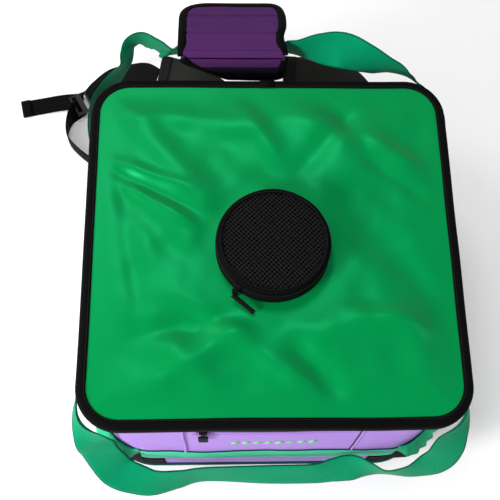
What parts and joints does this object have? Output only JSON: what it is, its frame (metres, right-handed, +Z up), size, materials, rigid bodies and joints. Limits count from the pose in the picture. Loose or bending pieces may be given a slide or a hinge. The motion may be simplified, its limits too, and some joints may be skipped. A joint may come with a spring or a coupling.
{
  "type": "bowling ball bag",
  "caption": "Soft square bag with a zipped padded lid, round mesh pouch on top, elastic side pockets, webbing handles with a wrap grip, and padded shoulder straps.",
  "frame": {"origin": "centre of the base's underside", "axes": "+Z up, +Y towards the back of the bag, where the shoulder straps are, +X to the right seen from the front"},
  "size_m": [0.5361, 0.5595, 0.2724],
  "materials": {
    "lid_green": "smooth coated polyester, semi-gloss, soft wrinkles",
    "binding_black": "woven binding tape, matt",
    "body_purple": "coated polyester, satin",
    "body_lavender": "coated polyester, satin",
    "handle_green": "ribbed polypropylene webbing, soft sheen",
    "band_teal": "ribbed webbing with dark edges",
    "pocket_black": "black woven fabric",
    "hem_green": "gathered elasticated hem",
    "mesh_black": "knitted spacer mesh",
    "strap_grey": "padded woven strap, matt",
    "web_black": "narrow woven webbing",
    "grip_purple": "padded woven fabric with black bound edge",
    "lining_grey": "thin lining fabric",
    "foam": "closed-cell foam",
    "board": "stiffening board",
    "zip_tape": "zip tape and coil",
    "slider": "black painted zinc, semi-gloss",
    "buckle": "moulded acetal"
  },
  "bodies": {
    "bag": {"base_panel": "pocket_black", "base_board": "board", "bottom_piping": "band_teal", "body_lining": "lining_grey", "ball_ring": "foam", "corner_patches": "pocket_black", "front_band": "band_teal", "lower_zip_tape": "zip_tape", "hinge_strip": "binding_black", "pocket_back": "lining_grey", "pocket_zip_tapes": "zip_tape", "left_side_pocket": "pocket_black", "right_side_pocket": "pocket_black", "left_pocket_hem": "hem_green", "right_pocket_hem": "hem_green", "front_left_anchor": "handle_green", "front_right_anchor": "handle_green", "rear_left_anchor": "handle_green", "rear_right_anchor": "handle_green", "strap_yoke": "pocket_black", "left_strap_web": "web_black", "left_strap_tail": "web_black", "right_strap_web": "web_black", "left_ladder_lock": "buckle", "left_lower_anchor": "web_black", "right_lower_anchor": "web_black", "front_panel": "body_lavender", "right_panel": "body_purple", "rear_panel": "body_purple", "left_panel": "body_purple", "front_foam": "foam", "right_foam": "foam", "rear_foam": "foam", "left_foam": "foam"},
    "lid": {"lid_panel": "lid_green", "lid_foam": "foam", "lid_lining": "lining_grey", "lid_binding": "binding_black", "upper_zip_tape": "zip_tape", "pouch_base": "pocket_black", "pouch_wall": "pocket_black", "pouch_lower_zip": "zip_tape"},
    "pouch_top": {"pouch_upper_zip": "zip_tape", "pouch_binding": "binding_black", "pouch_mesh": "mesh_black"},
    "pouch_zip_slider": {"pouch_slider": "slider"},
    "pouch_zip_pull": {"pouch_pull": "slider"},
    "front_zip_slider": {"main_slider_front": "slider"},
    "front_zip_pull": {"main_pull_front": "slider"},
    "rear_zip_slider": {"main_slider_rear": "slider"},
    "rear_zip_pull": {"main_pull_rear": "slider"},
    "pocket_zip_slider": {"pocket_slider": "slider"},
    "pocket_zip_pull": {"pocket_pull": "slider"},
    "front_carry_handle": {"front_handle": "handle_green"},
    "rear_carry_handle": {"rear_handle": "handle_green", "grip_base": "grip_purple"},
    "rear_grip_flap": {"grip_rear_flap": "grip_purple"},
    "front_grip_flap": {"grip_front_flap": "grip_purple"},
    "left_shoulder_strap": {"left_strap": "strap_grey"},
    "right_shoulder_strap": {"right_strap": "strap_grey"}
  },
  "joints": [
    {"name": "lid_hinge", "type": "hinge", "parent": "bag", "child": "lid", "pos_m": [0, 0.184, 0.23], "axis": [-1, 0, 0], "range_deg": [0, 95]},
    {"name": "pouch_hinge", "type": "hinge", "parent": "lid", "child": "pouch_top", "pos_m": [0, 0.048, 0.264], "axis": [-1, 0, 0], "range_deg": [0, 110]},
    {"name": "pouch_slide", "type": "hinge", "parent": "lid", "child": "pouch_zip_slider", "pos_m": [0, -0.009, 0.264], "axis": [0, 0, 1], "range_deg": [0, 190]},
    {"name": "pouch_pull_swing", "type": "hinge", "parent": "pouch_zip_slider", "child": "pouch_zip_pull", "pos_m": [-0.03792, -0.05754, 0.263], "axis": [-0.788, 0.6157, 0], "range_deg": [0, 80]},
    {"name": "front_zip_slide", "type": "slide", "parent": "bag", "child": "front_zip_slider", "axis": [0, -1, 0], "range_m": [0, 0.05]},
    {"name": "front_pull_swing", "type": "hinge", "parent": "front_zip_slider", "child": "front_zip_pull", "pos_m": [0.1884, -0.008, 0.228], "axis": [0, -1, 0], "range_deg": [0, 100]},
    {"name": "rear_zip_slide", "type": "slide", "parent": "bag", "child": "rear_zip_slider", "axis": [0, 1, 0], "range_m": [0, 0.06]},
    {"name": "rear_pull_swing", "type": "hinge", "parent": "rear_zip_slider", "child": "rear_zip_pull", "pos_m": [0.1884, 0.008, 0.228], "axis": [0, -1, 0], "range_deg": [0, 100]},
    {"name": "pocket_zip_slide", "type": "slide", "parent": "bag", "child": "pocket_zip_slider", "axis": [1, 0, 0], "range_m": [0, 0.14]},
    {"name": "pocket_pull_swing", "type": "hinge", "parent": "pocket_zip_slider", "child": "pocket_zip_pull", "pos_m": [-0.07, -0.1882, 0.1984], "axis": [-1, 0, 0], "range_deg": [0, 100]},
    {"name": "front_handle_swing", "type": "hinge", "parent": "bag", "child": "front_carry_handle", "pos_m": [0, -0.108, 0.2], "axis": [-1, 0, 0], "range_deg": [0, 125]},
    {"name": "rear_handle_swing", "type": "hinge", "parent": "bag", "child": "rear_carry_handle", "pos_m": [0, 0.108, 0.2], "axis": [1, 0, 0], "range_deg": [0, 95]},
    {"name": "rear_flap_fold", "type": "hinge", "parent": "rear_carry_handle", "child": "rear_grip_flap", "pos_m": [-0.038, 0.2445, 0.2602], "axis": [1, 0, 0], "range_deg": [0, 150]},
    {"name": "front_flap_fold", "type": "hinge", "parent": "rear_carry_handle", "child": "front_grip_flap", "pos_m": [-0.038, 0.2118, 0.2558], "axis": [1, 0, 0], "range_deg": [0, 20]},
    {"name": "left_strap_lift", "type": "hinge", "parent": "bag", "child": "left_shoulder_strap", "pos_m": [-0.044, 0.191, 0.198], "axis": [1, 0, 0], "range_deg": [0, 30]},
    {"name": "right_strap_lift", "type": "hinge", "parent": "bag", "child": "right_shoulder_strap", "pos_m": [0.084, 0.191, 0.198], "axis": [1, 0, 0], "range_deg": [0, 30]}
  ]
}
